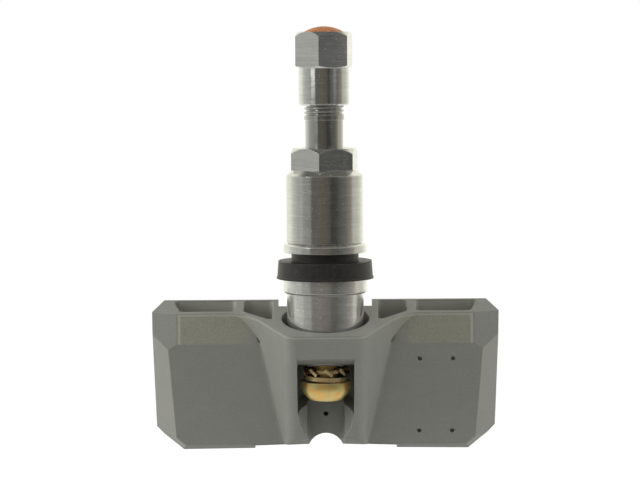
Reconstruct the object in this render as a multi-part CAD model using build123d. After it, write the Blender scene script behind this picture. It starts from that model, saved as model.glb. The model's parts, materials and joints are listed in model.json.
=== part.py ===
from build123d import *
import math
import os

# Clamp-in tyre pressure sensor with an aluminium valve stem.
# Frame: +Z up the valve stem's axis, +X along the long side of the housing, +Y to its cover.
# Origin: on the stem's axis, in the grommet face that seats against the rim.

# Clearances
running_gap = 0.1
loose_gap = 0.25
seat_gap = 0.05

# Rubber grommet
neck_radius = 6.5
neck_height = 1.7
flange_top_radius = 9.04
flange_foot_radius = 9.4
flange_height = 3.4
flange_lip = 0.3

# Valve stem
rim_thread_radius = 4.5
rim_thread_top = 16.5
grommet_seat_radius = 4.9
collar_radius = 8.1
collar_height = 2.8
barrel_radius = 7.45
shank_radius = 3.65
valve_thread_radius = 3.85
valve_thread_start = 27.2
stem_top = 38.5
core_thread_radius = 2.6
core_thread_depth = 5.5
core_seat_radius = 2.1
core_seat_depth = 19.0
air_channel_radius = 1.3
air_outlet_z = -8.0
edge_break = 0.3

# Saddle joint between stem and housing: both faces are concentric about one X axis
tilt_axis_z = -8.0
saddle_radius = 11.0
saddle_wall = 1.6
tilt_limit = 3.0

# Valve core
core_head_length = 4.4
core_body_radius = 1.85
core_body_length = 13.0
core_wall = 0.4
core_recess = 0.5
core_lip = 0.6
pin_radius = 0.5
pin_collar_radius = 1.25
pin_collar_height = 0.6
pin_reach = 0.3
plunger_radius = 1.65
plunger_height = 1.4
spring_wire_radius = 0.17
spring_turns = 6
core_seal_height = 1.6

# Washer, nut
washer_radius = 8.05
washer_height = 1.65
washer_edge = 0.35
nut_height = 18.4
nut_sleeve_height = 13.3
nut_sleeve_radius = 7.42
nut_shoulder = 0.9
nut_shoulder_radius = 6.1
nut_flats = 11.95
nut_turned = 8.5
nut_mouth_radius = 4.0
hex_chamfer_angle = 48.0

# Cap
cap_height = 14.1
cap_skirt_height = 7.2
cap_skirt_radius = 4.87
cap_flats = 10.1
cap_turned = 10.0
cap_foot_chamfer_share = 0.45
cap_mouth_z = 29.95
cap_seal_height = 1.5
cap_seal_hole = 1.6
cap_relief_radius = 2.2
cap_relief_depth = 1.3
insert_radius = 3.8
insert_depth = 1.3
insert_rise = 1.05

# Mounting screw and its two washers
screw_shank_radius = 2.4
screw_length = 12.0
screw_head_radius = 4.85
screw_head_height = 3.65
screw_head_bulge = 0.42
screw_rim = 0.6
screw_crown_radius = 3.1
recess_width = 1.1
recess_span = 4.6
recess_depth = 2.0
tooth_count = 9
tooth_turned = 6.6
tooth_washer_height = 1.55
tooth_ring_height = 0.6
tooth_ring_radius = 3.55
tooth_reach = 4.55
tooth_width = 1.9
tooth_twist = -38.0
spring_washer_height = 1.25
spring_washer_thickness = 0.85
spring_washer_tilt = 2.5
spring_washer_radius = 4.22
spring_washer_slit = 0.8
spring_washer_slit_slant = 40.0

# Housing, in its own leaning frame: x along it, d from front to back, h up from its top face
lean = 12.5
rim_plane_z = -11.27
half_width = 33.9
side_flare = 0.019
side_draft = 2.0
top_lip_depth = 3.27
face_depth = 1.3
rear_depth = 11.6
bevel_drop = 5.75
housing_height = 28.15
foot_rise = 0.018
foot_chamfer = 1.3
cheek_run = 3.1
cheek_depth = 2.95
cheek_flare = 0.031
corner_run = 4.8
corner_depth = 4.3
foot_corner_rise = 5.05
foot_corner_run = 5.75
rear_edge_break = 0.6

# Raised block around the stem
block_front = -10.85
block_foot_depth = -0.1
block_foot_drop = 26.0
block_foot_slope = 0.32
block_foot_chamfer = 1.23
block_slope = 21.1
block_half = 7.36
block_spread = 15.0
block_edge_radius = 3.0
block_blend_radius = 8.4
block_blend_end = 21.5
foot_relief_half = 14.0
foot_relief = 1.5
foot_relief_rise = 0.038

# Stem socket and screw channel, upright along the stem's axis
socket_radius = 8.5
socket_back_half = 9.25
socket_back_depth = 7.42
socket_back_drop = 6.0
channel_half = 5.5
channel_back = 8.0
channel_corner_radius = 3.0
channel_floor_z = -30.1
channel_floor_slope = 22.0
channel_floor_start = 0.5
underside_radius = 15.0
underside_wall = 1.3
seat_pad_margin = 1.0
groove_radius = 5.35
groove_back_radius = 3.65
groove_back = 7.7
exit_half = 3.6
exit_height = 2.2
exit_drop = 27.0
port_radius = 0.45
port_lift = 2.0

# Pockets in the top of each wing
pocket_depth = 5.5
pocket_front = 4.3
pocket_rear = 10.85
pocket_end_front = 5.5
pocket_end_rear = 3.8
outer_pocket_start = 17.7
inner_pocket_end = 16.0
inner_pocket_start = 10.3
inner_pocket_front = -0.4
inner_pocket_step = 11.1
pocket_radius = 0.9
pin_hole_radius = 0.45
pin_hole_depth = 1.0
pin_hole_near = 18.4
pin_hole_far = 24.9
pin_hole_top = 8.9
pin_hole_foot = 24.0

# Room for the electronics, open at the back and closed by the welded cover
wall = 1.5
cover_thickness = 1.4
cover_ledge = 0.9
cover_gap = 0.05
bay_top = 7.3
bay_start = 10.2
bay_front = 2.9
bay_side_wall = 1.3
corridor_front = 8.3
middle_lift = 2.7
middle_lift_half = 15.0
corridor_top = 9.5
post_radius = 1.4
post_inset = 1.1

# Circuit board and what stands on it, placed by x and h
board_thickness = 1.0
board_gap = 0.3
board_margin = 0.6
battery_gap = 1.3
battery_height = 3.2
battery_crimp = 0.5
battery_cap_radius = 6.7
battery_end_gap = 1.7
battery_tab_room = 2.2
tab_thickness = 0.3
tab_width = 3.0
tab_length = 6.0
chip_offset = 1.1
sensor_offset = -5.8
sensor_drop = 8.0
sensor_size = 5.0
sensor_height = 1.8
sensor_port_radius = 0.5
controller_drop = 3.9
controller_size = 5.0
controller_height = 0.9
crystal_offset = 6.0
crystal_length = 3.2
crystal_width = 2.5
crystal_height = 0.8
coil_gap = 0.6
coil_length = 8.0
coil_size = 3.0
coil_flange = 1.2
coil_winding = 2.4
antenna_offset = -0.2
antenna_lift = 3.8
antenna_length = 11.0
antenna_width = 1.5
antenna_thickness = 0.4
antenna_height = 3.0


def turned(*outline):
    """A solid of revolution about Z from a closed outline of (radius, height) points."""
    return revolve(Plane.XZ * make_face(Polyline(*outline, close=True)), Axis.Z)


def upright(radius, foot, top):
    """A cylinder about Z between two heights."""
    return Pos(0, 0, (foot + top) / 2) * Cylinder(radius, top - foot)


def block_between(x, y, z):
    """A box given by its two limits along each axis."""
    size = [high - low for low, high in (x, y, z)]
    middle = [(high + low) / 2 for low, high in (x, y, z)]
    return Pos(*middle) * Box(*size)


def beyond(point, normal):
    """A large box whose bottom face passes through the point and faces against the normal."""
    return Plane(origin=point, z_dir=normal).location * Pos(0, 0, far) * Box(4 * far, 4 * far, 2 * far)


def half_up_to(side, reach):
    """A large block on one side of the middle, out to some distance along X."""
    limits = sorted((0, side * reach))
    return block_between(limits, (-far, far), (-far, far))


def hexagon(flats, foot, top, turn):
    """A hexagonal prism whose vertex nearest the front is turned about Z by some degrees."""
    corner = flats / 2 / math.cos(math.radians(30))
    outline = RegularPolygon(corner, 6, rotation=-90 - turn)
    return extrude(Pos(0, 0, foot) * outline, top - foot)


def chamfered_hexagon(flats, foot, top, turn, foot_share):
    """A hexagonal prism turned to a cone at its top and, by a share of that, at its foot."""
    corner = flats / 2 / math.cos(math.radians(30))
    drop = (corner - flats / 2) * math.tan(math.radians(hex_chamfer_angle))
    lift = drop * foot_share
    cone = turned(
        (0, foot),
        (flats / 2, foot),
        (corner, foot + lift),
        (corner, top - drop),
        (flats / 2, top),
        (0, top),
    )
    return hexagon(flats, foot, top, turn) & cone


def saddle(radius):
    """The cylinder about the tilt axis that the socket floor and the stem's foot follow."""
    return Pos(0, 0, tilt_axis_z) * Rot(0, 90, 0) * Cylinder(radius, 4 * radius)


# Heights along the stem that follow from the sizes above
washer_z = neck_height
nut_z = washer_z + washer_height
nut_top = nut_z + nut_height
saddle_z = tilt_axis_z - saddle_radius
floor_z = saddle_z - saddle_wall
tooth_washer_z = floor_z - seat_gap
spring_washer_z = tooth_washer_z - tooth_washer_height
head_z = spring_washer_z - spring_washer_height
screw_tip = head_z + screw_length
core_top = stem_top - core_recess
core_foot = core_top - core_body_length
core_shoulder = core_top - core_head_length
cap_seal_z = stem_top + seat_gap
cap_ledge_z = cap_seal_z + cap_seal_height
cap_top = cap_mouth_z + cap_height
rear_half_width = half_width - side_draft
bay_end = rear_half_width - bay_side_wall
bay_foot = -housing_height + wall + cover_ledge
bay_height = -bay_top - bay_foot
board_front = rear_depth - cover_thickness - board_gap - board_thickness
battery_front = board_front - tab_thickness - battery_height
bay_length = bay_end - bay_start
bay_middle = (bay_end + bay_start) / 2
battery_by_height = bay_height - 2 * battery_gap
battery_by_length = bay_length - battery_end_gap - battery_tab_room
battery_radius = min(battery_by_height, battery_by_length) / 2
battery_x = battery_radius + battery_end_gap - bay_end
battery_h = bay_foot + bay_height / 2
chip_x = bay_middle + chip_offset
controller_h = -bay_top - controller_drop
antenna_h = bay_foot + antenna_lift
coil_h = antenna_h + (antenna_width + coil_size) / 2 + coil_gap
far = 60.0
lean_radians = math.radians(lean)
port_h = bay_foot + middle_lift + port_lift
port_z = rim_plane_z + groove_back * math.tan(lean_radians) + port_h / math.cos(lean_radians)
housing_place = Plane(
    origin=(0, 0, rim_plane_z),
    x_dir=(1, 0, 0),
    z_dir=(0, -math.sin(lean_radians), math.cos(lean_radians)),
).location


def make_grommet():
    lip_top = -flange_height + flange_lip
    rubber = turned(
        (grommet_seat_radius, -flange_height),
        (flange_foot_radius, -flange_height),
        (flange_foot_radius, lip_top),
        (flange_foot_radius - flange_lip / 2, lip_top + flange_lip / 2),
        (flange_top_radius, 0),
        (neck_radius, 0),
        (neck_radius, neck_height),
        (grommet_seat_radius, neck_height),
    )
    return rubber


def make_stem():
    collar_foot = -flange_height - collar_height
    outline = turned(
        (0, saddle_z - saddle_wall),
        (barrel_radius, saddle_z - saddle_wall),
        (barrel_radius, collar_foot),
        (collar_radius - edge_break, collar_foot),
        (collar_radius, collar_foot + edge_break),
        (collar_radius, -flange_height),
        (grommet_seat_radius, -flange_height),
        (grommet_seat_radius, neck_height - edge_break),
        (rim_thread_radius, neck_height),
        (rim_thread_radius, rim_thread_top - edge_break),
        (rim_thread_radius - edge_break, rim_thread_top),
        (shank_radius, rim_thread_top),
        (shank_radius, valve_thread_start),
        (valve_thread_radius, valve_thread_start),
        (valve_thread_radius, stem_top - edge_break),
        (valve_thread_radius - edge_break, stem_top),
        (0, stem_top),
    )
    lower_part = block_between((-far, far), (-far, far), (-far, tilt_axis_z))
    foot = lower_part - saddle(saddle_radius - running_gap)
    seat = core_top - core_seat_depth
    bore = turned(
        (0, air_outlet_z),
        (air_channel_radius, air_outlet_z),
        (air_channel_radius, seat - core_seat_radius + air_channel_radius),
        (core_seat_radius, seat),
        (core_seat_radius, stem_top - core_thread_depth - edge_break),
        (core_thread_radius, stem_top - core_thread_depth),
        (core_thread_radius, stem_top),
        (0, stem_top),
    )
    outlet = Pos(0, far / 2, air_outlet_z) * Rot(90, 0, 0) * Cylinder(air_channel_radius, far)
    screw_hole = upright(screw_shank_radius + running_gap, saddle_z - saddle_wall, screw_tip + loose_gap)
    return outline - foot - bore - outlet - screw_hole


def make_core_body():
    head_radius = core_thread_radius - seat_gap
    bore_radius = core_body_radius - core_wall
    body = turned(
        (0, core_foot),
        (core_body_radius, core_foot),
        (core_body_radius, core_shoulder),
        (head_radius, core_shoulder),
        (head_radius, core_top),
        (0, core_top),
    )
    inside = upright(bore_radius, core_foot + core_lip, core_top - core_lip)
    rod_way = upright(pin_radius + running_gap, core_foot, core_top)
    return body - inside - rod_way


def make_core_seal():
    middle = core_foot + core_seal_height
    return turned(
        (core_body_radius, middle),
        (core_seat_radius - seat_gap, middle),
        (core_seat_radius - seat_gap, middle + core_seal_height - edge_break),
        (core_body_radius, middle + core_seal_height),
    )


def make_core_pin():
    collar_top = core_top - core_lip - seat_gap
    collar_foot = collar_top - pin_collar_height
    plunger_foot = core_foot - seat_gap - plunger_height
    return turned(
        (0, plunger_foot),
        (plunger_radius, plunger_foot),
        (plunger_radius, core_foot - seat_gap - edge_break),
        (pin_radius, core_foot - seat_gap - edge_break),
        (pin_radius, collar_foot),
        (pin_collar_radius, collar_foot),
        (pin_collar_radius, collar_top),
        (pin_radius, collar_top),
        (pin_radius, core_top + pin_reach),
        (0, core_top + pin_reach),
    )


def make_core_spring():
    foot = core_foot + core_lip + spring_wire_radius
    top = core_top - core_lip - seat_gap - pin_collar_height - spring_wire_radius
    coil_radius = (core_body_radius - core_wall + pin_radius) / 2
    height = top - foot
    path = Pos(0, 0, foot) * Helix(height / spring_turns, height, coil_radius)
    section = Plane(origin=path @ 0, z_dir=path % 0) * RegularPolygon(spring_wire_radius, 6)
    return sweep(section, path=path)


def make_washer():
    top = nut_z
    return turned(
        (rim_thread_radius + loose_gap, washer_z),
        (washer_radius, washer_z),
        (washer_radius, top - washer_edge),
        (washer_radius - washer_edge / 2, top - washer_edge / 4),
        (washer_radius - washer_edge, top),
        (rim_thread_radius + loose_gap, top),
    )


def make_nut():
    sleeve_top = nut_z + nut_sleeve_height
    hex_foot = sleeve_top + nut_shoulder
    sleeve = turned(
        (0, nut_z),
        (nut_sleeve_radius - edge_break, nut_z),
        (nut_sleeve_radius, nut_z + edge_break),
        (nut_sleeve_radius, sleeve_top - edge_break / 2),
        (nut_sleeve_radius - edge_break / 2, sleeve_top),
        (nut_shoulder_radius, hex_foot),
        (0, hex_foot),
    )
    head = chamfered_hexagon(nut_flats, hex_foot, nut_top, nut_turned, 0)
    thread = upright(rim_thread_radius + running_gap, nut_z, rim_thread_top + loose_gap)
    mouth = upright(nut_mouth_radius, nut_z, nut_top)
    countersink = turned(
        (0, nut_top - edge_break),
        (nut_mouth_radius, nut_top - edge_break),
        (nut_mouth_radius + edge_break, nut_top),
        (0, nut_top),
    )
    return sleeve + head - thread - mouth - countersink


def make_cap_seal():
    outer = valve_thread_radius + running_gap / 2
    return turned(
        (cap_seal_hole, cap_seal_z),
        (outer, cap_seal_z),
        (outer, cap_ledge_z),
        (cap_seal_hole, cap_ledge_z),
    )


def make_cap():
    skirt_top = cap_mouth_z + cap_skirt_height
    mouth_radius = valve_thread_radius + running_gap
    skirt = turned(
        (0, cap_mouth_z),
        (cap_skirt_radius - edge_break, cap_mouth_z),
        (cap_skirt_radius, cap_mouth_z + edge_break),
        (cap_skirt_radius, skirt_top),
        (0, skirt_top),
    )
    head = chamfered_hexagon(cap_flats, skirt_top, cap_top, cap_turned, cap_foot_chamfer_share)
    inside = turned(
        (0, cap_mouth_z),
        (mouth_radius + edge_break, cap_mouth_z),
        (mouth_radius, cap_mouth_z + edge_break),
        (mouth_radius, cap_ledge_z),
        (cap_relief_radius, cap_ledge_z),
        (cap_relief_radius, cap_ledge_z + cap_relief_depth),
        (0, cap_ledge_z + cap_relief_depth),
    )
    recess = upright(insert_radius + seat_gap, cap_top - insert_depth, cap_top)
    return skirt + head - inside - recess


def make_cap_insert():
    foot = cap_top - insert_depth
    rim = cap_top
    crown = cap_top + insert_rise
    half_chord = insert_radius * math.sqrt(0.5)
    dome_radius = (insert_radius**2 + insert_rise**2) / (2 * insert_rise)
    on_arc = crown - dome_radius + math.sqrt(dome_radius**2 - half_chord**2)
    side = Polyline((0, crown), (0, foot), (insert_radius, foot), (insert_radius, rim))
    dome = ThreePointArc((insert_radius, rim), (half_chord, on_arc), (0, crown))
    return revolve(Plane.XZ * make_face(side + dome), Axis.Z)


def make_screw():
    rim_foot = head_z - screw_rim
    crown = head_z - screw_head_height
    side = Polyline(
        (0, crown),
        (0, screw_tip),
        (screw_shank_radius - edge_break, screw_tip),
        (screw_shank_radius, screw_tip - edge_break),
        (screw_shank_radius, head_z),
        (screw_head_radius, head_z),
        (screw_head_radius, rim_foot),
    )
    cheek = SagittaArc((screw_head_radius, rim_foot), (screw_crown_radius, crown), screw_head_bulge)
    end = Line((screw_crown_radius, crown), (0, crown))
    screw = revolve(Plane.XZ * make_face(side + cheek + end), Axis.Z)
    slot = Box(recess_span, recess_width, recess_depth)
    cross = slot + Rot(0, 0, 90) * slot
    return screw - Pos(0, 0, crown + recess_depth / 2) * cross


def make_spring_washer():
    half = spring_washer_thickness / 2
    ring = upright(spring_washer_radius, -half, half) - upright(screw_shank_radius + loose_gap, -half, half)
    slit = Pos(0, spring_washer_radius, 0) * Rot(0, spring_washer_slit_slant, 0) * Box(
        spring_washer_slit, 2 * spring_washer_radius, far
    )
    middle = (head_z + spring_washer_z) / 2
    return Pos(0, 0, middle) * Rot(0, spring_washer_tilt, 0) * (ring - slit)


def make_tooth_washer():
    bore = screw_shank_radius + loose_gap
    middle = tooth_washer_z - tooth_washer_height / 2
    foot = middle - tooth_ring_height / 2
    washer = upright(tooth_ring_radius, foot, foot + tooth_ring_height)
    length = tooth_reach - tooth_ring_radius + tooth_ring_height
    tooth = Rot(tooth_twist, 0, 0) * Box(length, tooth_width, tooth_ring_height)
    span = upright(tooth_reach, tooth_washer_z - tooth_washer_height, tooth_washer_z)
    for turn in range(tooth_count):
        angle = tooth_turned - 90 + turn * 360 / tooth_count
        place = Rot(0, 0, angle) * Pos(tooth_reach - length / 2, 0, middle)
        washer += place * tooth
    return (washer & span) - upright(bore, foot - far / 2, far / 2)


def wing_slab():
    """Both wings in the housing's own frame, cut to their facets."""
    foot = -housing_height
    section = Polyline(
        (top_lip_depth, 0),
        (face_depth, -bevel_drop),
        (face_depth, foot + foot_chamfer),
        (face_depth + foot_chamfer, foot),
        (rear_depth - rear_edge_break, foot),
        (rear_depth, foot + rear_edge_break),
        (rear_depth, 0),
        close=True,
    )
    slab = extrude(Plane.YZ * make_face(section), 2 * half_width, both=True)
    taper = math.atan2(side_draft, rear_depth - corner_depth)
    cheek = math.atan2(cheek_depth - face_depth, cheek_run)
    for side in (-1, 1):
        corner = Vector(side * (half_width - corner_run), top_lip_depth, 0)
        below = Vector(side * (half_width - corner_run), face_depth, -bevel_drop)
        outer = Vector(side * half_width, corner_depth, 0)
        facet = (below - corner).cross(outer - corner) * side
        foot_corner = (side * (half_width - foot_corner_run), face_depth, foot)
        foot_normal = Vector(side * foot_corner_rise, 0, -foot_corner_run).normalized()
        slab -= beyond(
            (side * half_width, corner_depth, 0),
            (side * math.cos(taper), math.sin(taper), -side_flare),
        )
        slab -= beyond((side * half_width, cheek_depth, 0), (side, 0, -side_flare))
        slab -= beyond(
            (side * (half_width - cheek_run), face_depth, -bevel_drop),
            (side * math.sin(cheek), -math.cos(cheek), -cheek_flare),
        )
        slab -= beyond(corner, facet)
        slab -= beyond(foot_corner, foot_normal)
        inset = Vector(*foot_corner) - foot_normal * foot_chamfer
        slab -= beyond(inset, foot_normal + Vector(0, -1, 0))
        corner_foot = (side * (half_width - foot_corner_run), 0, foot)
        slab -= beyond(corner_foot, (-side * foot_rise, 0, -1)) & half_up_to(side, far)
    return slab


def stem_block():
    """The raised block around the stem: an S-shaped outline drawn back along its slope."""
    outline = FilletPolyline(
        (-block_blend_end, top_lip_depth),
        (-block_spread, top_lip_depth),
        (-block_half, block_front),
        (block_half, block_front),
        (block_spread, top_lip_depth),
        (block_blend_end, top_lip_depth),
        radius=[block_blend_radius, block_edge_radius, block_edge_radius, block_blend_radius],
    )
    back = Polyline(
        (block_blend_end, top_lip_depth),
        (block_blend_end, rear_depth),
        (-block_blend_end, rear_depth),
        (-block_blend_end, top_lip_depth),
    )
    slope = math.radians(block_slope)
    length = housing_height / math.cos(slope)
    backward = (0, math.sin(slope), -math.cos(slope))
    block = extrude(make_face(outline + back), amount=length, dir=backward)
    return block - beyond((0, rear_depth, 0), (0, 1, 0))


def foot_reliefs():
    """What is cut from below the block and its ramps: a raised foot with a chamfered front edge."""
    cuts = Part()
    for side in (-1, 1):
        half = half_up_to(side, foot_relief_half)
        lean_out = -side * foot_relief_rise
        edge = (0, block_foot_depth, -block_foot_drop)
        cuts += half & beyond((0, 0, foot_relief - housing_height), (lean_out, 0, -1))
        cuts += half & beyond(edge, (lean_out, -block_foot_slope, -1))
        cuts += half & beyond(edge, (lean_out, -block_foot_chamfer, -1))
    return cuts


def pocket(radii, *outline):
    """A pocket sunk into the top face of a wing, its upright corners rounded."""
    face = make_face(FilletPolyline(*outline, radius=radii, close=True))
    return extrude(Pos(0, 0, -pocket_depth) * face, 2 * pocket_depth)


def wing_pockets(side):
    outer = pocket(
        pocket_radius,
        (side * outer_pocket_start, pocket_rear),
        (side * outer_pocket_start, pocket_front),
        (side * (half_width - pocket_end_front), pocket_front),
        (side * (half_width - pocket_end_rear), pocket_rear),
    )
    narrow = (inner_pocket_step - inner_pocket_start) / 2
    inner = pocket(
        [pocket_radius, pocket_radius, narrow, pocket_radius, pocket_radius],
        (side * inner_pocket_end, pocket_rear),
        (side * inner_pocket_start, pocket_rear),
        (side * inner_pocket_start, inner_pocket_front),
        (side * inner_pocket_step, inner_pocket_front),
        (side * inner_pocket_end, pocket_front),
    )
    return outer + inner


def cover_outline(margin):
    """The cover's outline in x and h, grown or shrunk by a margin."""
    half = bay_end + cover_ledge + margin
    top = -bay_top + cover_ledge + margin
    foot = -housing_height + wall - margin
    middle_foot = foot + middle_lift
    middle_half = middle_lift_half - margin
    run = foot_corner_run - margin / 2
    rise = foot_corner_rise - margin / 2
    outline = Polyline(
        (-half, top),
        (half, top),
        (half, foot + rise),
        (half - run, foot),
        (middle_half, foot),
        (middle_half, middle_foot),
        (-middle_half, middle_foot),
        (-middle_half, foot),
        (run - half, foot),
        (-half, foot + rise),
        close=True,
    )
    return make_face(outline)


def slice_between(face, front, rear):
    """A face drawn in x and h, given a thickness from one depth to another."""
    return extrude(Plane.XZ.offset(-rear) * face, rear - front)


def electronics_bay():
    """The hollow for the electronics: one bay in each wing and a corridor between them."""
    bays = slice_between(cover_outline(-cover_ledge), bay_front, rear_depth)
    middle = block_between((-bay_start, bay_start), (-far, corridor_front), (-far, far))
    upper = block_between(
        (-bay_start, bay_start), (-far, rear_depth - cover_thickness), (-corridor_top, far)
    )
    return bays - middle - upper


def screw_slot(margin, foot, top):
    """The upright slot that lets the screw follow the tilt, grown by a margin."""
    reach = (saddle_radius + saddle_wall) * math.sin(math.radians(tilt_limit))
    width = 2 * (screw_shank_radius + loose_gap + margin)
    outline = Pos(0, 0, foot) * Rot(0, 0, 90) * SlotCenterToCenter(2 * reach, width)
    return extrude(outline, top - foot)


def socket():
    """The round socket for the stem, its saddle floor and the slot for the screw, upright."""
    hollow = upright(socket_radius, saddle_z - saddle_wall, far / 2)
    above = block_between((-far, far), (-far, far), (tilt_axis_z, far))
    slot = screw_slot(0, floor_z - saddle_wall, saddle_z + saddle_wall)
    return (hollow & (saddle(saddle_radius) + above)) + slot


def channel():
    """The window that shows the screw, and the groove below it that lets a driver reach it."""
    window = block_between((-channel_half, channel_half), (-far, channel_back), (-far, tilt_axis_z))
    rear_edges = window.edges().filter_by(Axis.Z).group_by(Axis.Y)[-1]
    window = fillet(rear_edges, channel_corner_radius)
    underside_z = saddle_z - underside_wall
    window -= Pos(0, 0, underside_z + underside_radius) * Rot(0, 90, 0) * Cylinder(underside_radius, far)
    window -= screw_slot(seat_pad_margin, floor_z, tilt_axis_z) & saddle(saddle_radius + saddle_wall)
    slope = math.radians(channel_floor_slope)
    floor_start = (0, channel_floor_start, channel_floor_z)
    window -= beyond(floor_start, (0, math.sin(slope), -math.cos(slope)))
    top = channel_floor_z + channel_half
    front = block_between((-groove_radius, groove_radius), (-far, 0), (-far, top))
    back = Pos(0, groove_back - groove_back_radius, 0) * upright(groove_back_radius, -far, top)
    return window + front + back + upright(groove_radius, -far, top)


def exit_arch():
    """The arched notch that runs from the groove through the foot to the back."""
    crown = Pos(0, -exit_drop) * Ellipse(exit_half, exit_height)
    below = Pos(0, -exit_drop - exit_height / 2) * Rectangle(2 * exit_half, exit_height)
    return slice_between(crown + below, 0, far)


def pin_holes():
    holes = Part()
    for x in (pin_hole_near, pin_hole_far):
        for drop in (pin_hole_top, pin_hole_foot):
            at = Pos(x, face_depth, -drop)
            holes += at * Rot(90, 0, 0) * Cylinder(pin_hole_radius, 2 * pin_hole_depth)
    return holes


def make_housing():
    body = wing_slab() + stem_block() - foot_reliefs()
    for side in (-1, 1):
        body -= wing_pockets(side)
    body -= block_between(
        (-socket_back_half, socket_back_half), (socket_back_depth, far), (-socket_back_drop, far)
    )
    body -= electronics_bay()
    body -= slice_between(cover_outline(cover_gap), rear_depth - cover_thickness, far)
    body -= exit_arch()
    body -= pin_holes()
    body = housing_place * (body + board_posts())
    port = Pos(0, groove_back, port_z) * Rot(90, 0, 0) * Cylinder(port_radius, 2 * wall + groove_back)
    return body - socket() - channel() - port


def board_posts():
    """Posts on the front wall of each bay that the circuit board rests on."""
    posts = Part()
    front = bay_front - wall / 2
    near = bay_start + post_inset
    far_end = bay_end - post_inset
    top = -bay_top - post_inset
    foot = -housing_height + foot_corner_rise + wall
    for x, h in ((near, top), (near, foot), (far_end, top)):
        for side in (-1, 1):
            middle = Pos(side * x, (front + board_front) / 2, h)
            posts += middle * Rot(90, 0, 0) * Cylinder(post_radius, board_front - front)
    return posts


def make_cover():
    plate = slice_between(cover_outline(0), rear_depth - cover_thickness, rear_depth)
    return housing_place * plate


def make_board():
    outline = cover_outline(-cover_ledge - board_margin)
    board = slice_between(outline, board_front, board_front + board_thickness)
    above_corridor = block_between(
        (-bay_start, bay_start), (-far, far), (-corridor_top - board_margin, far)
    )
    return housing_place * (board - above_corridor)


def on_board(x, h, length, width, height):
    """A box that stands on the front of the circuit board."""
    return Pos(x, board_front - height / 2, h) * Box(length, height, width)


def make_battery():
    can = turned(
        (0, 0),
        (battery_radius - battery_crimp, 0),
        (battery_radius, battery_crimp),
        (battery_radius, battery_height - battery_crimp),
        (battery_radius - battery_crimp, battery_height - battery_crimp / 2),
        (battery_cap_radius, battery_height - battery_crimp / 2),
        (battery_cap_radius, battery_height),
        (0, battery_height),
    )
    return housing_place * Pos(battery_x, battery_front, battery_h) * Rot(-90, 0, 0) * can


def make_positive_tab():
    leg_x = battery_x + battery_radius + 2 * tab_thickness
    strap_front = battery_front - tab_thickness
    width = (battery_h - tab_width / 2, battery_h + tab_width / 2)
    strap = block_between((leg_x - tab_length, leg_x), (strap_front, battery_front), width)
    leg = block_between((leg_x - tab_thickness, leg_x), (strap_front, board_front), width)
    return housing_place * (strap + leg)


def make_negative_tab():
    width = (battery_h - tab_width / 2, battery_h + tab_width / 2)
    start = battery_x - tab_length / 2
    strap = block_between((start, start + tab_length), (board_front - tab_thickness, board_front), width)
    return housing_place * strap


def make_sensor_chip():
    x = bay_middle + sensor_offset
    h = -bay_top - sensor_drop
    chip = on_board(x, h, sensor_size, sensor_size, sensor_height)
    port = Pos(x, board_front - sensor_height, h) * Rot(90, 0, 0)
    return housing_place * (chip - port * Cylinder(sensor_port_radius, sensor_height))


def make_controller_chip():
    chip = on_board(chip_x, controller_h, controller_size, controller_size, controller_height)
    return housing_place * chip


def make_crystal():
    x = bay_middle + crystal_offset
    can = on_board(x, controller_h, crystal_length, crystal_width, crystal_height)
    return housing_place * can


def make_wake_coil():
    reach = (coil_length - coil_flange) / 2
    middle = Pos(chip_x, board_front - coil_size / 2, coil_h)
    coil = middle * Box(coil_length, coil_winding, coil_winding)
    for side in (-1, 1):
        coil += on_board(chip_x + side * reach, coil_h, coil_flange, coil_size, coil_size)
    return housing_place * coil


def make_antenna():
    middle = bay_middle + antenna_offset
    reach = (middle - antenna_length / 2, middle + antenna_length / 2)
    width = (antenna_h - antenna_width / 2, antenna_h + antenna_width / 2)
    loop = block_between(reach, (board_front - antenna_height, board_front), width)
    inside = (reach[0] + antenna_thickness, reach[1] - antenna_thickness)
    under = (board_front - antenna_height + antenna_thickness, far)
    return housing_place * (loop - block_between(inside, under, width))


def main():
    nodes = {
        "housing": make_housing,
        "rear_cover": make_cover,
        "circuit_board": make_board,
        "coin_battery": make_battery,
        "battery_tab_positive": make_positive_tab,
        "battery_tab_negative": make_negative_tab,
        "pressure_sensor_chip": make_sensor_chip,
        "controller_chip": make_controller_chip,
        "crystal": make_crystal,
        "wake_coil": make_wake_coil,
        "antenna_loop": make_antenna,
        "valve_stem": make_stem,
        "grommet": make_grommet,
        "core_body": make_core_body,
        "core_seal": make_core_seal,
        "core_pin": make_core_pin,
        "core_spring": make_core_spring,
        "washer": make_washer,
        "nut": make_nut,
        "cap_seal": make_cap_seal,
        "cap": make_cap,
        "cap_insert": make_cap_insert,
        "mounting_screw": make_screw,
        "spring_washer": make_spring_washer,
        "tooth_washer": make_tooth_washer,
    }
    os.makedirs("parts", exist_ok=True)
    for name, make in nodes.items():
        export_step(make(), "parts/" + name + ".step")
        print(name)


main()
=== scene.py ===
# %% [markdown]
# # Tyre pressure sensor
# The packed CAD part is the fixed frame: every piece already has its true shape and place. This script
# gives the pieces their finishes, cuts the one thread that shows, and sets up a studio around them.

# %% load the part
import json
import math

import bmesh
import bpy
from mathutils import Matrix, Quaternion, Vector


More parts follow.
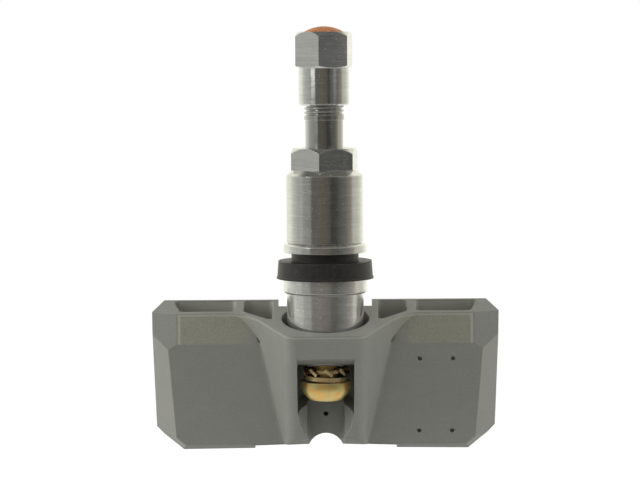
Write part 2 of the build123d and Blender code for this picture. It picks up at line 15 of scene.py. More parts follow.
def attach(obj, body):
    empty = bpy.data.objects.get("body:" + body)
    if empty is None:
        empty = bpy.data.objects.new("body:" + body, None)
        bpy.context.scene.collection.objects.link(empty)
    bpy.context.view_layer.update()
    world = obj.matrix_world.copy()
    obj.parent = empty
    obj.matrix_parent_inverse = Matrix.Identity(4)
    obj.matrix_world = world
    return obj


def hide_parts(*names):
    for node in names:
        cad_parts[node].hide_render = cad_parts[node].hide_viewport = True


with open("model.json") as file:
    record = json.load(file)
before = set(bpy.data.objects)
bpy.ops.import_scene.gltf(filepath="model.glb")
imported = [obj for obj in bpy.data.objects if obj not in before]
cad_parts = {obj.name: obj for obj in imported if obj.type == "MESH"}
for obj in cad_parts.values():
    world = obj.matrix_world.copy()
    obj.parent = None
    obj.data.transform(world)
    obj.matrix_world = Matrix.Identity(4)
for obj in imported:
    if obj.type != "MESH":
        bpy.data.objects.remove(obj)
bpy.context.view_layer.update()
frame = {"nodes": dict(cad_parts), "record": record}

MM = 0.001
nodes = frame["nodes"]


# %% [markdown]
# ## Shader maths
# Every finish is a formula over the part's own coordinates. A small class wraps one output of a shader
# node, so a formula reads as ordinary arithmetic. The other choice, wiring each maths node by hand, hides
# the formula in a list of links.

# %% terms
class Term:
    """A number, colour or vector that varies over a surface."""

    def __init__(self, recipe, socket):
        self.recipe = recipe
        self.socket = socket

    def maths(self, operation, *values):
        return self.recipe.add("ShaderNodeMath", {"operation": operation}, *values)

    def __add__(self, other):
        return self.maths("ADD", self, other)

    def __sub__(self, other):
        return self.maths("SUBTRACT", self, other)

    def __mul__(self, other):
        return self.maths("MULTIPLY", self, other)

    def __rsub__(self, other):
        return self.maths("SUBTRACT", other, self)

    def __neg__(self):
        return self * -1.0

    __radd__ = __add__
    __rmul__ = __mul__

    def size(self):
        return self.maths("ABSOLUTE", self)

    def between(self, low, high):
        """0 up to low, 1 from high on, and a soft step between them."""
        settings = {"interpolation_type": "SMOOTHSTEP"}
        return self.recipe.add("ShaderNodeMapRange", settings, self, low, high)

    def within(self, low, high, rise, fall):
        """1 from low to high, with a soft rise from low on and a soft fall from high on."""
        return self.between(low, low + rise) * (1.0 - self.between(high, high + fall))

    def clamped(self):
        return self.recipe.add("ShaderNodeClamp", {}, self, 0.0, 1.0)


print("a term knows + - * and", [name for name in vars(Term) if not name.startswith("_")])


# %% [markdown]
# ## Sockets and stops
# Some nodes hide the sockets that their settings leave out of use, and several sockets can share a name,
# so a socket is looked up among those in use, by number or by name. Raw positions would work too, but the
# hidden sockets throw the count off. A colour ramp starts with two stops of its own; a second helper puts
# the wanted ones in their place.

# %% sockets and stops
def in_use(sockets, which):
    usable = [socket for socket in sockets if socket.enabled]
    if isinstance(which, int):
        return usable[which]
    return [socket for socket in usable if socket.name == which][0]


def set_stops(elements, stops):
    elements.remove(elements[1])
    for number, (place, colour) in enumerate(stops):
        element = elements[0] if number == 0 else elements.new(place)
        element.position = place
        element.color = (*colour, 1.0)


def shaded(colour, factor):
    return tuple(channel * factor for channel in colour)


print("half as bright:", shaded((0.8, 0.6, 0.4), 0.5))


# %% [markdown]
# ## Recipes
# A material and the world are both trees of nodes. One method adds any node: it sets the node's own
# settings first, then the values and links of its sockets. The other methods are short names for nodes
# that come up again and again; written out in full each time, they would bury the formulas.

# %% recipes
class Recipe:
    """The nodes of a material or of the world."""

    def __init__(self, owner):
        owner.use_nodes = True
        self.owner = owner
        self.tree = owner.node_tree
        self.tree.nodes.clear()

    def add(self, kind, settings, *inputs, out=0, **named):
        node = self.tree.nodes.new(kind)
        for key, value in settings.items():
            if key == "stops":
                set_stops(node.color_ramp.elements, value)
            else:
                setattr(node, key, value)
        named = {key.replace("_", " "): value for key, value in named.items()}
        for which, value in list(enumerate(inputs)) + list(named.items()):
            socket = in_use(node.inputs, which)
            if isinstance(value, Term):
                self.tree.links.new(value.socket, socket)
            elif value is not None:
                colour = socket.type == "RGBA" and len(value) == 3
                socket.default_value = (*value, 1.0) if colour else value
        return Term(self, in_use(node.outputs, out)) if node.outputs else node

    def split(self, vector):
        parts = self.add("ShaderNodeSeparateXYZ", {}, vector)
        return [Term(self, socket) for socket in parts.socket.node.outputs]

    def joined(self, x, y, z):
        return self.add("ShaderNodeCombineXYZ", {}, x, y, z)

    def noise(self, vector, scale, detail=2.0, roughness=0.5):
        return self.add(
            "ShaderNodeTexNoise", {}, Vector=vector, Scale=scale, Detail=detail, Roughness=roughness
        )

    def mix(self, share, one, other, blend_type="MIX"):
        """A colour between two colours, or their product."""
        settings = {"data_type": "RGBA", "blend_type": blend_type}
        return self.add("ShaderNodeMix", settings, share, one, other)


print("a recipe knows", [name for name in vars(Recipe) if not name.startswith("_")])


# %% [markdown]
# ## Finishes
# A finish is the recipe of a material. The sharp edges of a CAD mesh look like cut paper, because no real
# edge is that sharp, so a finish can ask for a rounded normal, and for a mask of the places where it
# differs from the true one. Bevels in the mesh would catch the light too, but they would cost many faces
# and eat into the packed shape.

# %% finishes
class Finish(Recipe):
    """The recipe of a material."""

    def __init__(self, name):
        super().__init__(bpy.data.materials.new(name))

    def place(self):
        """The part's own coordinates in millimetres."""
        here = self.add("ShaderNodeTexCoord", {}, out="Object")
        return self.add("ShaderNodeVectorMath", {"operation": "SCALE"}, here, Scale=1 / MM)

    def rounded(self, radius):
        """The normal that the surface would have with its edges rounded by some millimetres."""
        return self.add("ShaderNodeBevel", {"samples": 4}, Radius=radius * MM)

    def facing(self, way):
        """1 where the surface faces one way, 0 across it and -1 where it faces back."""
        true = self.add("ShaderNodeNewGeometry", {}, out="True Normal")
        return self.add("ShaderNodeVectorMath", {"operation": "DOT_PRODUCT"}, true, way)

    def edges(self, rounded):
        """Above 0 where the rounded normal leans away from the true one."""
        return 1.0 - self.facing(rounded)

    def blend(self, share, one, other):
        """A direction between two directions."""
        across = self.add("ShaderNodeVectorMath", {"operation": "SUBTRACT"}, other, one)
        part = self.add("ShaderNodeVectorMath", {"operation": "SCALE"}, across, Scale=share)
        return self.add("ShaderNodeVectorMath", {"operation": "ADD"}, one, part)

    def bump(self, height, distance, normal=None):
        """Height 1 stands proud by the distance, in millimetres."""
        return self.add("ShaderNodeBump", {}, Distance=distance * MM, Height=height, Normal=normal)

    def surface(self, **inputs):
        shader = self.add("ShaderNodeBsdfPrincipled", {}, **inputs)
        self.add("ShaderNodeOutputMaterial", {}, Surface=shader)
        return self.owner


print("a finish also knows", [name for name in vars(Finish) if not name.startswith("_")])


# %% [markdown]
# ## Turned aluminium
# The stem, its nut, the washer and the cap come off a lathe. The tool leaves fine rings around the axis,
# so light spreads up and down the stem and hardly sideways: the shader's anisotropy does that, turned by a
# quarter because the rings run along the tangent. Noise squeezed flat draws the rings themselves, and
# coarser noise adds the pits and dull streaks of handling. A drawn texture of scratches would repeat;
# noise over the part's own coordinates doesn't. Below the grommet the stem was left as turned, so a few
# percent less metal in the mix give it its milky haze there.

# %% aluminium
NEVER = 100.0


def turned_metal(name, colour, roughness, pits, dark_from=NEVER, hazy_below=-NEVER):
    f = Finish(name)
    here = f.place()
    x, y, z = f.split(here)
    rings = f.noise(f.joined(x * 0.04, y * 0.04, z), 3.5, detail=4.0, roughness=0.75)
    bands = f.noise(f.joined(x * 0.1, y * 0.1, z), 0.9, detail=2.0)
    dull = f.noise(here, 0.7, detail=3.0, roughness=0.6)
    grain = f.noise(here, 5.0, detail=2.0, roughness=0.6)
    pitted = f.noise(here, 2.8, detail=1.5).between(0.70, 0.80)
    rounded = f.rounded(0.15)
    edge = f.edges(rounded).between(0.02, 0.3)
    tone = (rings - 0.5) * 1.4 + (bands - 0.5) * 0.5 + (dull - 0.5) * 0.4 + 0.5
    shade = f.mix(tone.clamped(), shaded(colour, 0.72), colour)
    shade = f.mix(z.between(dark_from, dark_from + 1.0), shade, shaded(colour, 0.6))
    # The pale line where the rounded normal leans away is a painted highlight along the edges.
    shade = f.mix(edge * 0.5, shade, (0.95, 0.94, 0.91))
    rough = (rings - 0.5) * 0.12 + (dull - 0.5) * 0.16 + pitted * pits + roughness
    height = rings * 0.5 + grain * 0.1 - pitted * 0.5
    haze = 1.0 - z.between(hazy_below - 0.5, hazy_below)
    return f.surface(
        Base_Color=shade, Metallic=1.0 - haze * 0.07, Roughness=rough.clamped(), Anisotropic=0.8,
        Anisotropic_Rotation=0.25, Normal=f.bump(height, 0.006, rounded),
    )


stem_metal = turned_metal("turned stem aluminium", (0.92, 0.92, 0.89), 0.17, 0.15, 12.0, 0.0)
nut_metal = turned_metal("turned nut aluminium", (0.88, 0.88, 0.85), 0.16, 0.3)
cap_metal = turned_metal("milled cap aluminium", (0.90, 0.90, 0.88), 0.16, 0.2)
washer_metal = turned_metal("turned washer aluminium", (0.97, 0.97, 0.94), 0.2, 0.1)
print("nodes in one turned metal:", len(stem_metal.node_tree.nodes))


# %% [markdown]
# ## Moulded plastic
# The housing is glass-filled plastic: dull grey with a slight olive cast, fine pale flecks of glass and
# faint clouds from the flow of the melt. It doesn't look the same all over. The bevel along the top of
# each wing has a coarser, more yellow grain, and its tone is a little paler as painted light from above; a
# thin pale line round it and the pale lines along the edges are painted highlights. The pockets are painted
# a tone paler, painted light in their shaded walls, and so are the end facets, a painted sheen from the
# side lamps. The flanks run softly into the faces beside them, so there the normal is rounded much wider;
# real fillets that long and that shallow would cost thousands of faces for the same shading. The housing
# leans back, so the first step is to measure along its own axes instead of the part's.

# %% housing axes
LEAN = math.radians(12.5)
RIM_PLANE = -11.27


def housing_axes(f, here):
    """How far right, back and up a point lies, along the leaning housing."""
    x, y, z = f.split(here)
    height = z - RIM_PLANE
    back = y * math.cos(LEAN) + height * math.sin(LEAN)
    up = height * math.cos(LEAN) - y * math.sin(LEAN)
    return x, back, up


print("the housing leans back by", round(math.degrees(LEAN), 1), "degrees")


# %% [markdown]
# ## Zones of the housing
# Each zone is a mask: 1 inside, 0 outside, and a soft step of a fraction of a millimetre between them.
# The numbers are millimetres along the leaning axes, with up measured from the plane of the rim. Both
# wings are alike, so the size of x stands for the distance from the middle on either side.

# %% zones of the housing
BEVEL_DROP = 5.75
BEVEL_END = 28.6
FACE_DEPTH = 3.0
RIM_LINE = 28.2
POCKET_START = 9.8
POCKET_END = 30.5
POCKET_FRONT = 4.4
POCKET_REAR = 10.9
WING_END = 26.0
FLANK_START = 6.5
FLANK_END = 15.0
FLANK_TOP = -7.0


def below_rim(up):
    """The strip between the wing's top edge and the foot of its bevel."""
    return up.within(-BEVEL_DROP - 0.2, -0.35, 0.5, 0.25)


def on_front(back):
    return 1.0 - back.between(FACE_DEPTH, FACE_DEPTH + 0.6)


def bevel_zone(x, back, up, clouds):
    """The coarse bevel; its inner end wanders with the clouds in the plastic."""
    inner_end = (x.size() + clouds * 4.0).between(14.0, 20.0)
    return below_rim(up) * on_front(back) * inner_end * (1.0 - x.size().between(BEVEL_END, BEVEL_END + 0.3))


def rim_highlight_zone(x, back, up):
    """Where the thin painted highlight runs round the bevel: along its outer end and along the top edge."""
    end = below_rim(up) * x.size().within(RIM_LINE, RIM_LINE + 0.5, 0.2, 0.2)
    top = up.within(-0.6, -0.3, 0.1, 0.1) * (1.0 - x.size().between(RIM_LINE + 0.5, RIM_LINE + 0.7))
    return (end + top * on_front(back)).clamped()


def pocket_zone(x, back, up):
    along = x.size().within(POCKET_START, POCKET_END, 0.4, 0.5)
    return along * back.within(POCKET_FRONT, POCKET_REAR, 0.4, 0.1) * (1.0 - up.between(-0.3, -0.1))


def flank_zone(x, up):
    """The flanks that run from the raised block into the faces of the wings."""
    along = x.size().within(FLANK_START, FLANK_END, 1.0, 1.5)
    return along * (1.0 - up.between(FLANK_TOP, FLANK_TOP + 1.5))


def end_facets(f, x):
    """The facets at the outer ends of the wings, which look sideways."""
    return f.facing((1.0, 0.0, 0.0)).size().between(0.3, 0.6) * x.size().between(WING_END, WING_END + 1.0)


print("pockets", POCKET_END - POCKET_START, "mm long, bevel", BEVEL_DROP, "mm high")


# %% [markdown]
# ## The plastic itself
# Base colour first, then one layer after another on top of it: clouds, flecks, and the zones from the
# cell above. Each layer is a mix with a mask, so it can be weakened or left out by one number. Painting
# the zones onto an unwrapped mesh would work too, but the paint would have to be done again whenever the
# housing changes its size.

# %% plastic
EDGE_ROUND = 0.3
FLANK_ROUND = 1.2


def moulded_plastic(name, colour, bevel_colour, fleck):
    f = Finish(name)
    here = f.place()
    x, back, up = housing_axes(f, here)
    clouds = f.noise(here, 0.35, detail=3.0, roughness=0.6)
    grain = f.noise(here, 4.0, detail=4.0, roughness=0.75)
    flecks = f.noise(here, 7.0, detail=1.0).between(0.60, 0.75)
    flow = f.noise(f.joined(x * 0.25, back * 0.25, up * 1.5), 1.3, detail=3.0)
    coarse = f.noise(here, 2.6, detail=2.0)
    on_bevel = bevel_zone(x, back, up, clouds)
    on_flank = flank_zone(x, up)
    crisp = f.rounded(EDGE_ROUND)
    rounded = f.blend(on_flank, crisp, f.rounded(FLANK_ROUND))
    edge = f.edges(crisp).between(0.01, 0.2) * (1.0 - on_flank * 0.7)
    tone = (clouds - 0.5) * 0.8 + (grain - 0.5) * 0.7 + (flow - 0.5) * 0.4 + 0.5
    tone = tone + (coarse - 0.5) * on_bevel * 2.0
    # The bevel colour gives its coarser, yellower grain, and its paler tone is painted light falling from
    # above.
    shade = f.mix(on_bevel * (grain.between(0.35, 0.6) * 0.5 + 0.5), colour, bevel_colour)
    dimmed = f.mix(tone.clamped(), (0.80, 0.80, 0.80), (1.0, 1.0, 1.0))
    shade = f.mix(1.0, shade, dimmed, "MULTIPLY")
    shade = f.mix(flecks * fleck, shade, (0.42, 0.42, 0.38))
    # The pockets are painted a tone paler: painted light that lifts the shade in their walls.
    shade = f.mix(pocket_zone(x, back, up) * 0.5, shade, (0.42, 0.42, 0.37))
    # The end facets are painted paler: a painted sheen from the lamps at the sides.
    shade = f.mix(end_facets(f, x) * 0.4, shade, (0.33, 0.33, 0.30))
    # A thin painted highlight round the bevel and along the top edge.
    shade = f.mix(rim_highlight_zone(x, back, up) * 0.28, shade, (0.40, 0.40, 0.33))
    # Pale lines where the rounded normal leans away are painted highlights along the edges.
    shade = f.mix(edge * 0.5, shade, (0.36, 0.35, 0.30))
    rough = (grain - 0.5) * 0.3 + 0.45
    height = grain * 0.7 + grain * on_bevel * 1.2 + flow * 0.3
    return f.surface(
        Base_Color=shade, Roughness=rough.clamped(), Specular_IOR_Level=0.45,
        Normal=f.bump(height, 0.03, rounded),
    )


housing_grey = (0.165, 0.168, 0.150)
housing_plastic = moulded_plastic("glass-filled plastic", housing_grey, (0.190, 0.187, 0.143), 0.25)
cover_plastic = moulded_plastic("cover plastic", shaded(housing_grey, 0.92), housing_grey, 0.2)
chip_black = (0.022, 0.022, 0.022)
chip_plastic = moulded_plastic("chip package", chip_black, chip_black, 0.05)
print("nodes in one plastic:", len(housing_plastic.node_tree.nodes))


# %% [markdown]
# ## Rubber
# The grommet and the seals are moulded rubber: near black with a brown cast, a little dusty, with a soft
# sheen. Dust is a slow noise in the colour and the roughness; a fine noise gives the skin its grain. The
# pale lines along the edges are painted highlights.

# %% rubber
def moulded_rubber(name, colour, roughness):
    f = Finish(name)
    here = f.place()
    dust = f.noise(here, 1.1, detail=5.0, roughness=0.7)
    grain = f.noise(here, 7.0, detail=2.0)
    specks = f.noise(here, 4.0, detail=0.0).between(0.72, 0.78)
    rounded = f.rounded(0.2)
    edge = f.edges(rounded).between(0.02, 0.3)
    shade = f.mix(dust.between(0.3, 0.75), colour, shaded(colour, 2.2))
    # The pale lines along the edges are painted highlights; the pale specks are dust.
    shade = f.mix(edge * 0.3 + specks * 0.3, shade, (0.11, 0.105, 0.09))
    rough = (dust - 0.5) * 0.3 + roughness
    return f.surface(
        Base_Color=shade, Roughness=rough.clamped(), Normal=f.bump(grain + dust, 0.03, rounded)
    )


grommet_rubber = moulded_rubber("grommet rubber", (0.008, 0.007, 0.006), 0.42)
seal_rubber = moulded_rubber("seal rubber", (0.03, 0.03, 0.03), 0.6)
core_rubber = moulded_rubber("core seal rubber", (0.3, 0.03, 0.02), 0.5)
print("rubbers:", [rubber.name for rubber in (grommet_rubber, seal_rubber, core_rubber)])


# %% [markdown]
# ## Yellow zinc
# Passivated zinc is a golden metal whose thin film drifts from straw to green and orange. Two slow noises
# pick the tint, and a fine grain keeps its reflections from looking polished. A real thin-film shader
# would give rainbow fringes that are far too clean for plate this old. On the two washers the outer ends
# of the teeth get a painted highlight and the faces between them painted shade in dark brown, so their
# finish asks which way each face looks; painting the gaps by hand would have to be done again for every
# tooth. The rounded edges of all zinc get a painted pale glint.

# %% yellow zinc
def passivated(name, roughness, wear, contrast):
    f = Finish(name)
    here = f.place()
    x, y, z = f.split(here)
    drift = f.noise(f.joined(x, y, z * 2.0), 0.45, detail=2.0)
    tint = f.noise(here, 0.9, detail=3.0)
    grain = f.noise(here, 5.0, detail=3.0, roughness=0.6)
    # The wear radius rounds the normal and sets the width of the painted glint along the edges.
    rounded = f.rounded(wear)
    edge = f.edges(rounded).between(0.02, 0.3)
    straw = f.mix(drift.between(0.38, 0.62), (0.70, 0.43, 0.13), (0.56, 0.50, 0.20))
    shade = f.mix(tint.between(0.52, 0.7) * 0.6, straw, (0.66, 0.32, 0.13))
    outward = f.add("ShaderNodeVectorMath", {"operation": "NORMALIZE"}, f.joined(x, y, 0.0))
    ends = f.facing(outward).between(0.45, 0.8)
    # Faces looking outward, the tooth ends, get a painted highlight.
    shade = f.mix(ends * contrast * 0.4, shade, (1.0, 0.82, 0.54))
    # All other faces, between the teeth and on the flat sides, get painted shade in dark brown.
    shade = f.mix((1.0 - ends) * contrast, shade, (0.07, 0.03, 0.01))
    # A painted pale glint along the rounded edges.
    shade = f.mix(edge * 0.9, shade, (1.0, 0.86, 0.62))
    rough = (grain - 0.5) * 0.3 + roughness
    return f.surface(
        Base_Color=shade, Metallic=0.8, Roughness=rough.clamped(), Normal=f.bump(grain, 0.015, rounded)
    )


yellow_zinc = passivated("yellow zinc", 0.26, 0.18, 0.9)
screw_zinc = passivated("yellow zinc screw", 0.34, 0.3, 0.0)
print("nodes in one zinc:", len(screw_zinc.node_tree.nodes))


# %% [markdown]
# ## Plain metals
# The valve core, its spring, the battery and the strips inside the housing are seen through gaps at most,
# or when the part comes apart. One colour with a little wear is enough for them, so a single function
# makes all five.

# %% plain metals
def plain_metal(name, colour, roughness):
    f = Finish(name)
    here = f.place()
    wear = f.noise(here, 2.0, detail=4.0, roughness=0.6)
    grain = f.noise(here, 9.0, detail=2.0)
    shade = f.mix(wear, shaded(colour, 0.8), colour)
    rough = (wear - 0.5) * 0.25 + roughness
    return f.surface(
        Base_Color=shade, Metallic=1.0, Roughness=rough.clamped(), Normal=f.bump(grain, 0.01)
    )


core_brass = plain_metal("turned brass", (0.80, 0.60, 0.28), 0.3)
spring_steel = plain_metal("spring wire", (0.6, 0.6, 0.6), 0.3)
battery_steel = plain_metal("battery can", (0.66, 0.66, 0.67), 0.3)
tab_nickel = plain_metal("nickel strip", (0.62, 0.59, 0.54), 0.35)
copper = plain_metal("copper", (0.80, 0.42, 0.25), 0.35)
print("nodes in one plain metal:", len(copper.node_tree.nodes))


# %% [markdown]
# ## Copper plug and circuit board
# The plug in the cap's top is rough and copper-coloured, with dark pits. The board is green solder mask
# over paler tracks, which a hard step cuts out of stretched noise.

# %% plug and board
def pitted_copper():
    f = Finish("copper plug")
    here = f.place()
    lumps = f.noise(here, 1.6, detail=4.0, roughness=0.7)
    pits = f.noise(here, 3.2, detail=2.0).between(0.5, 0.66)
    shade = f.mix(lumps, (0.42, 0.14, 0.04), (0.72, 0.30, 0.12))
    shade = f.mix(pits * 0.7, shade, (0.16, 0.06, 0.02))
    return f.surface(
        Base_Color=shade, Metallic=0.4, Roughness=lumps * 0.3 + 0.4,
        Normal=f.bump(lumps - pits * 0.5, 0.15),
    )


def solder_mask():
    f = Finish("solder mask")
    here = f.place()
    x, y, z = f.split(here)
    tracks = f.noise(f.joined(x, 0.0, z * 0.15), 1.1, detail=0.0).between(0.52, 0.55)
    grain = f.noise(here, 6.0, detail=2.0)
    shade = f.mix(tracks, (0.01, 0.10, 0.035), (0.03, 0.2, 0.07))
    return f.surface(
        Base_Color=shade, Roughness=grain * 0.2 + 0.25, Normal=f.bump(tracks + grain * 0.2, 0.03)
    )


plug_copper = pitted_copper()
board_mask = solder_mask()
print("plug and board:", plug_copper.name, "and", board_mask.name)


# %% [markdown]
# ## Finishes onto the part
# The frame's record gives each piece a material slot, and several pieces can share one. A table from slot
# to finish therefore dresses the whole part in one loop, and the same slot looks the same everywhere.
# Choosing a material piece by piece would work too, but it is easy to forget one.

# %% finishes onto the part
finish_of = {
    "stem_aluminium": stem_metal,
    "nut_aluminium": nut_metal,
    "washer_aluminium": washer_metal,
    "cap_aluminium": cap_metal,
    "copper_plug": plug_copper,
    "grommet_rubber": grommet_rubber,
    "core_brass": core_brass,
    "core_rubber": core_rubber,
    "pin_brass": core_brass,
    "spring_steel": spring_steel,
    "cap_rubber": seal_rubber,
    "yellow_zinc": yellow_zinc,
    "yellow_zinc_screw": screw_zinc,
    "housing_plastic": housing_plastic,
    "cover_plastic": cover_plastic,
    "board_laminate": board_mask,
    "battery_steel": battery_steel,
    "tab_nickel": tab_nickel,
    "chip_black": chip_plastic,
    "crystal_can": battery_steel,
    "coil_copper": copper,
    "strip_copper": copper,
}
slot_of = {part["node"]: part["material_slot"] for part in frame["record"]["subparts"]}
for name, node in nodes.items():
    node.data.materials.clear()
    node.data.materials.append(finish_of[slot_of[name]])
print("finishes", len(finish_of))


# %% [markdown]
# ## The valve thread
# The CAD stem is a plain cylinder at the height of the thread's crests, so that nothing catches in the
# motion tests. Here a groove is cut into a copy of it. The cutter is one strip of wedge-shaped sections
# that climbs around the stem; it starts shallow, as a die does, and runs out through the stem's end. A
# screw modifier could draw the thread too, but it can't start shallow.

# %% groove cutter
CREST = 3.85
ROOT = 3.43
PITCH = 0.794
THREAD_FOOT = 27.75
THREAD_END = 38.9
SECTIONS_PER_TURN = 40
ROOT_HALF_WIDTH = 0.05
FLANK = math.tan(math.radians(30))
CUTTER_OUT = 3.95


def groove_cutter():
    count = int((THREAD_END - THREAD_FOOT) / PITCH * SECTIONS_PER_TURN)
    mesh = bmesh.new()
    rings = []
    for step in range(count + 1):
        turn = 2 * math.pi * step / SECTIONS_PER_TURN
        z = THREAD_FOOT + PITCH * step / SECTIONS_PER_TURN
        depth = min(1.0, 0.05 + step / (SECTIONS_PER_TURN * 0.6))
        root = CREST - (CREST - ROOT) * depth
        half = ROOT_HALF_WIDTH + (CUTTER_OUT - root) * FLANK
        outline = ((root, -ROOT_HALF_WIDTH), (CUTTER_OUT, -half), (CUTTER_OUT, half), (root, ROOT_HALF_WIDTH))
        ring = []
        for radius, rise in outline:
            point = (radius * math.cos(turn) * MM, radius * math.sin(turn) * MM, (z + rise) * MM)
            ring.append(mesh.verts.new(point))
        rings.append(ring)
    for lower, upper in zip(rings, rings[1:]):
        for side in range(4):
            after = (side + 1) % 4
            mesh.faces.new((lower[side], lower[after], upper[after], upper[side]))
    mesh.faces.new(rings[0])
    mesh.faces.new(reversed(rings[-1]))
    bmesh.ops.recalc_face_normals(mesh, faces=mesh.faces)
    data = bpy.data.meshes.new("groove cutter")
    mesh.to_mesh(data)
    mesh.free()
    return bpy.data.objects.new("groove cutter", data)


print("groove", round(CREST - ROOT, 2), "mm deep,", round((THREAD_END - THREAD_FOOT) / PITCH, 1), "turns")


# %% [markdown]
# ## Clean corners
# A boolean leaves doubled points and faces without area. Two helpers put that right and check it: one
# welds the mesh and smooths its normals except across sharp corners, the other counts the open edges, of
# which a closed piece has none. Shading by angle alone would keep the doubled points.

# %% clean corners
SHARP = math.radians(28)


def open_edges(data):
    mesh = bmesh.new()
    mesh.from_mesh(data)
    bmesh.ops.remove_doubles(mesh, verts=mesh.verts, dist=0.0001 * MM)
    count = sum(not edge.is_manifold for edge in mesh.edges)
    mesh.free()
    return count


def smooth_but_for_corners(data):
    mesh = bmesh.new()
    mesh.from_mesh(data)
    bmesh.ops.remove_doubles(mesh, verts=mesh.verts, dist=0.001 * MM)
    bmesh.ops.dissolve_degenerate(mesh, dist=0.0005 * MM, edges=mesh.edges)
    for face in mesh.faces:
        face.smooth = True
    for edge in mesh.edges:
        edge.smooth = edge.calc_face_angle(0.0) < SHARP
    mesh.to_mesh(data)
    mesh.free()


print("corners stay sharp from", round(math.degrees(SHARP)), "degrees")


# %% [markdown]
# ## The cut
# An exact boolean takes the groove out of a copy of the stem, and the copy then stands in for it. The
# fast solver is quicker, but it leaves slivers where the groove fades out.

# %% threaded stem
def threaded_stem():
    blank = bpy.data.objects.new("stem blank", nodes["valve_stem"].data.copy())
    welded = bmesh.new()
    welded.from_mesh(blank.data)
    bmesh.ops.remove_doubles(welded, verts=welded.verts, dist=0.0001 * MM)
    welded.to_mesh(blank.data)
    welded.free()
    cutter = groove_cutter()
    for piece in (blank, cutter):
        bpy.context.scene.collection.objects.link(piece)
    cut = blank.modifiers.new("groove", "BOOLEAN")
    cut.operation = "DIFFERENCE"
    cut.solver = "EXACT"
    cut.object = cutter
    bpy.context.view_layer.update()
    shaped = blank.evaluated_get(bpy.context.evaluated_depsgraph_get())
    data = bpy.data.meshes.new_from_object(shaped)
    for piece in (blank, cutter):
        bpy.data.objects.remove(piece)
    smooth_but_for_corners(data)
    data.materials.clear()
    data.materials.append(stem_metal)
    stem = bpy.data.objects.new("threaded_stem", data)
    bpy.context.scene.collection.objects.link(stem)
    return stem


stem = threaded_stem()
print("thread", len(stem.data.polygons), "faces, open edges", open_edges(stem.data))
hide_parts("valve_stem")
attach(stem, "stem")


# %% [markdown]
# ## Studio
# Polished metal is a picture of the room around it, so the room is drawn first: pale walls to both sides
# and behind, a dim front where the camera stands, a bright visor above the camera, a dim ceiling and a pale
# table. It is a formula over the direction of the light, which stays smooth; a ring of lamps would leave
# hard spots. Each wall stop gives its bearing in degrees from the camera, right of it positive.

# %% light tent
CREAM = (1.0, 1.0, 0.88)
PALE = (0.99, 1.0, 0.94)
BROWN = (1.0, 0.92, 0.76)
ROSE = (1.0, 0.88, 0.76)
WALLS = (
    (-180, 1.00, CREAM), (-125, 0.90, CREAM), (-108, 0.60, PALE), (-90, 0.45, PALE), (-72, 0.42, PALE),
    (-66, 0.31, PALE), (-44, 0.25, PALE), (-39, 0.12, PALE), (-15, 0.13, BROWN), (4, 0.11, BROWN),
    (15, 0.09, BROWN), (20, 0.05, PALE), (35, 0.06, PALE), (65, 0.15, PALE), (80, 0.26, ROSE),
    (88, 0.35, ROSE), (93, 0.50, CREAM), (115, 0.60, CREAM), (150, 1.00, CREAM), (180, 1.00, CREAM),
)
world = bpy.data.worlds.new("light tent")
bpy.context.scene.world = world
tent = Recipe(world)
side, depth, up = tent.split(tent.add("ShaderNodeTexCoord", {}, out="Generated"))
around = tent.add("ShaderNodeMath", {"operation": "ARCTAN2"}, side, -depth)
stops = [(azimuth / 360 + 0.5, shaded(tint, level)) for azimuth, level, tint in WALLS]
walls = tent.add("ShaderNodeValToRGB", {"stops": stops}, around * (0.5 / math.pi) + 0.5)
in_front = 1.0 - around.size().between(1.5, 1.9)
visor = up.within(0.30, 0.58, 0.08, 0.10) * in_front
walls = tent.mix(visor * 0.55, walls, (1.0, 1.0, 0.95))
walls = tent.mix(up.between(0.60, 0.85), walls, (0.14, 0.14, 0.13))
walls = tent.mix((-up).between(0.35, 0.8), walls, (0.90, 0.90, 0.88))
glow = tent.add("ShaderNodeBackground", {}, Color=walls, Strength=1.0)
white = tent.add("ShaderNodeBackground", {}, Color=(1.0, 1.0, 1.0), Strength=1.0)
seen = tent.add("ShaderNodeLightPath", {}, out="Is Camera Ray")
tent.add("ShaderNodeOutputWorld", {}, Surface=tent.add("ShaderNodeMixShader", {}, seen, glow, white))
print("tent", len(WALLS), "stops")


# %% [markdown]
# ## Soft boxes
# Four large lamps light the plastic and the rubber from the front, from both sides and from above. They
# are left out of reflections, because the metal already has its room. Three small, weak cards close to
# the cap are the other way round: they hardly light anything, but the metal mirrors them, and that draws
# the narrow highlights on the cap's skirt and lifts its right-hand flat.

# %% lamps
def soft_box(name, place, aim, size, power, reflected=False):
    lamp = bpy.data.lights.new(name, "AREA")
    lamp.shape = "RECTANGLE"
    lamp.size, lamp.size_y = size
    lamp.energy = power
    box = bpy.data.objects.new(name, lamp)
    box.location = Vector(place)
    box.rotation_mode = "QUATERNION"
    box.rotation_quaternion = (Vector(aim) - box.location).to_track_quat("-Z", "Y")
    box.visible_glossy = reflected
    bpy.context.scene.collection.objects.link(box)


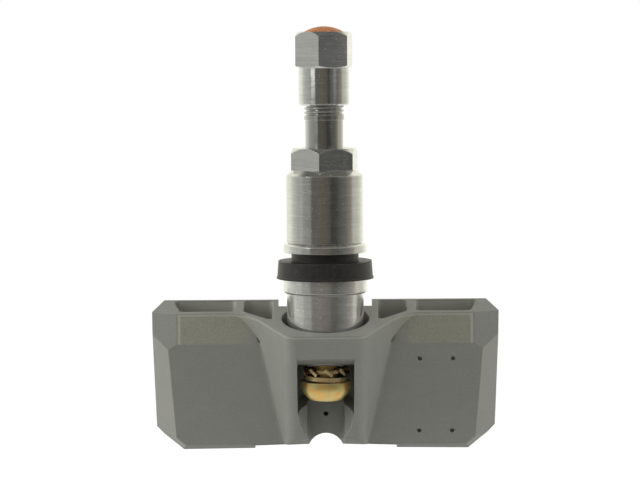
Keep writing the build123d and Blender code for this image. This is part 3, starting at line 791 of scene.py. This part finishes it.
CENTRE = (0.0, 0.0, -0.01)
soft_box("front box", (-0.08, -0.52, 0.08), CENTRE, (0.60, 0.40), 0.80)
soft_box("left box", (-0.55, -0.10, 0.12), CENTRE, (0.30, 0.40), 3.8)
soft_box("right box", (0.55, -0.10, 0.10), CENTRE, (0.30, 0.40), 2.6)
soft_box("top box", (0.0, -0.20, 0.60), CENTRE, (0.40, 0.30), 1.3)
soft_box("left card", (-0.078, -0.062, 0.058), (0.0, 0.0, 0.036), (0.036, 0.04), 0.0080, reflected=True)
soft_box("right card", (0.077, -0.064, 0.058), (0.0, 0.0, 0.036), (0.03, 0.04), 0.0012, reflected=True)
soft_box("cap card", (0.063, -0.077, 0.034), (0.0, 0.0, 0.040), (0.05, 0.018), 0.0002, reflected=True)
print("lamps", len(bpy.data.lights))


# %% [markdown]
# ## Floor
# A pale sheet lies 6 cm below the part, which the photograph shows cut out on white. To the camera it
# glows nearly white; to everything else it is plain pale paper that sends light up under the housing.

# %% floor
FLOOR_Z = -98 * MM
paper = Finish("floor paper")
fibres = paper.noise(paper.place(), 0.02, detail=3.0)
shade = paper.mix(fibres, (0.62, 0.62, 0.61), (0.66, 0.66, 0.65))
matt = paper.add("ShaderNodeBsdfPrincipled", {}, Base_Color=shade, Roughness=fibres * 0.1 + 0.8)
lit = paper.add("ShaderNodeEmission", {}, Color=(1.0, 1.0, 1.0), Strength=1.25)
seen = paper.add("ShaderNodeLightPath", {}, out="Is Camera Ray")
blend = paper.add("ShaderNodeMixShader", {}, seen * 0.75, matt, lit)
paper.add("ShaderNodeOutputMaterial", {}, Surface=blend)
sheet = bmesh.new()
bmesh.ops.create_grid(sheet, x_segments=1, y_segments=1, size=1.0)
for corner in sheet.verts:
    corner.co.y = -0.35 if corner.co.y < 0 else 3.0
    corner.co.z = FLOOR_Z
floor_mesh = bpy.data.meshes.new("floor")
sheet.to_mesh(floor_mesh)
sheet.free()
floor_mesh.materials.append(paper.owner)
floor = bpy.data.objects.new("floor", floor_mesh)
floor.visible_glossy = False
bpy.context.scene.collection.objects.link(floor)
print("floor at", round(FLOOR_Z / MM), "mm")


# %% [markdown]
# ## Camera
# A long lens about 0.46 m in front of the stem, looking a little down, as the photograph was taken. A
# small roll levels the part as it stands there.

# %% camera
LOOK_DOWN = math.radians(4.6)
ROLL = math.radians(-0.36)
DISTANCE = 464 * MM
AIM = Vector((-0.95 * MM, 0.0, 3.94 * MM))
FOCAL_PIXELS = 2400
IMAGE_WIDTH = 640
SENSOR_WIDTH = 36.0
camera_data = bpy.data.cameras.new("camera")
camera_data.sensor_width = SENSOR_WIDTH
camera_data.lens = SENSOR_WIDTH * FOCAL_PIXELS / IMAGE_WIDTH
camera_data.clip_start = 0.01
camera = bpy.data.objects.new("camera", camera_data)
bpy.context.scene.collection.objects.link(camera)
forward = Vector((0.0, math.cos(LOOK_DOWN), -math.sin(LOOK_DOWN)))
camera.location = AIM - forward * DISTANCE
camera.rotation_mode = "QUATERNION"
camera.rotation_quaternion = forward.to_track_quat("-Z", "Y") @ Quaternion((0.0, 0.0, 1.0), ROLL)
bpy.context.scene.camera = camera
bpy.context.scene.view_settings.view_transform = "Standard"
print("lens", camera_data.lens, "mm, camera at", [round(v / MM) for v in camera.location], "mm")


# %% [markdown]
